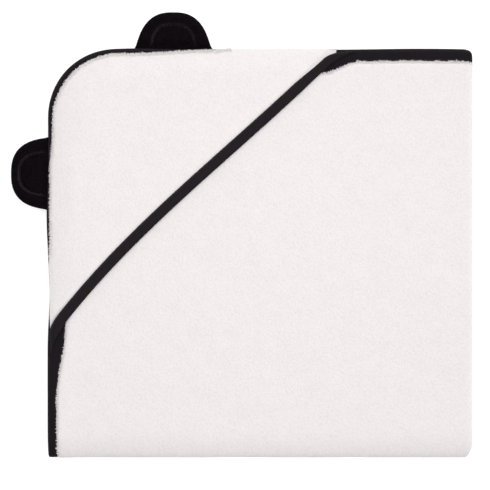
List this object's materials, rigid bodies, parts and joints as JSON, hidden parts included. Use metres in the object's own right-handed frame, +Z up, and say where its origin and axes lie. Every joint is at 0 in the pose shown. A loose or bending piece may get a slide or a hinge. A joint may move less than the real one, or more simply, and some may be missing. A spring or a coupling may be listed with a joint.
{
  "type": "hooded baby towel",
  "caption": "Hooded terry baby towel with padded ears and a contrasting edge binding, folded in four; its last fold opens and its ears bend.",
  "frame": {"origin": "middle of the underside of the whole object's box, on the surface that the folded towel lies on", "axes": "+Z up from that surface, +Y towards the top edge with the top ear, +X towards the side fold; the hood corner is at -X +Y"},
  "size_m": [0.422, 0.4074, 0.0186],
  "materials": {
    "white_terry": "matte",
    "black_tape": "matte",
    "black_thread": "satin",
    "black_plush": "matte",
    "wadding": "matte"
  },
  "bodies": {
    "hood_half": {"panel_upper": "white_terry", "hood_panel": "white_terry", "edge_binding_upper": "black_tape", "edge_stitching_upper": "black_thread", "hood_binding": "black_tape", "hood_stitching": "black_thread"},
    "lower_half": {"panel_lower": "white_terry", "panel_fold": "white_terry", "edge_binding_lower": "black_tape", "edge_binding_fold_outer": "black_tape", "edge_binding_fold_inner": "black_tape", "edge_stitching_lower": "black_thread"},
    "top_ear": {"top_ear_front": "black_plush", "top_ear_back": "black_plush", "top_ear_wadding": "wadding", "top_ear_stitching": "black_thread"},
    "side_ear": {"side_ear_front": "black_plush", "side_ear_back": "black_plush", "side_ear_wadding": "wadding", "side_ear_stitching": "black_thread"}
  },
  "joints": [
    {"name": "bottom_fold", "type": "hinge", "parent": "hood_half", "child": "lower_half", "pos_m": [0, -0.1965, 0.00725], "axis": [-1, 0, 0], "range_deg": [0, 180], "deforming": ["panel_fold", "edge_binding_fold_outer", "edge_binding_fold_inner"]},
    {"name": "top_ear_bend", "type": "hinge", "parent": "hood_half", "child": "top_ear", "pos_m": [-0.063, 0.17135, 0.01465], "axis": [1, 0, 0], "range_deg": [-20, 100], "stiffness_Nm_per_rad": 0.02},
    {"name": "side_ear_bend", "type": "hinge", "parent": "hood_half", "child": "side_ear", "pos_m": [-0.1786, 0.05575, 0.01465], "axis": [0, 1, 0], "range_deg": [-20, 100], "stiffness_Nm_per_rad": 0.02}
  ]
}
